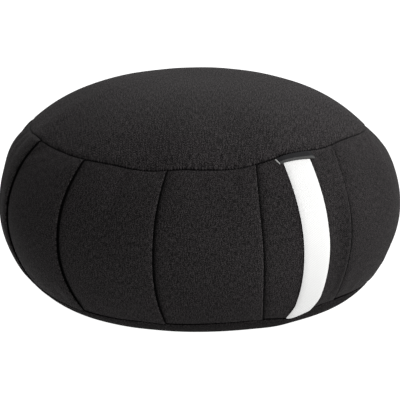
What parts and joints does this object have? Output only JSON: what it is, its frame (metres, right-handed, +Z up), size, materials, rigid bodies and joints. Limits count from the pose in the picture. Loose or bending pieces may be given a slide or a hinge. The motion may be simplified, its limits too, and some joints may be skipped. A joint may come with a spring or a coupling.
{
  "type": "zafu meditation cushion",
  "caption": "Round filled floor cushion with a crowned top, a bulging knife-pleated side band, a flat-lying carry strap and a folded side tab.",
  "frame": {"origin": "on the floor plane, under the middle of the cushion's box", "axes": "+Z up; -Y faces the front as pictured, +X to its right; the carry strap lies about 33 degrees round from the front towards +X"},
  "size_m": [0.3616, 0.359, 0.2038],
  "materials": {
    "pleated_body": "charcoal cotton canvas, matt",
    "top_panel": "charcoal cotton canvas, matt",
    "bottom_panel": "charcoal cotton canvas, matt",
    "carry_strap": "white woven webbing, matt",
    "label_tab": "black woven tape, slight sheen"
  },
  "bodies": {
    "root": {"pleated_body": "pleated_body", "top_panel": "top_panel", "bottom_panel": "bottom_panel", "carry_strap": "carry_strap", "label_tab": "label_tab"}
  },
  "joints": []
}
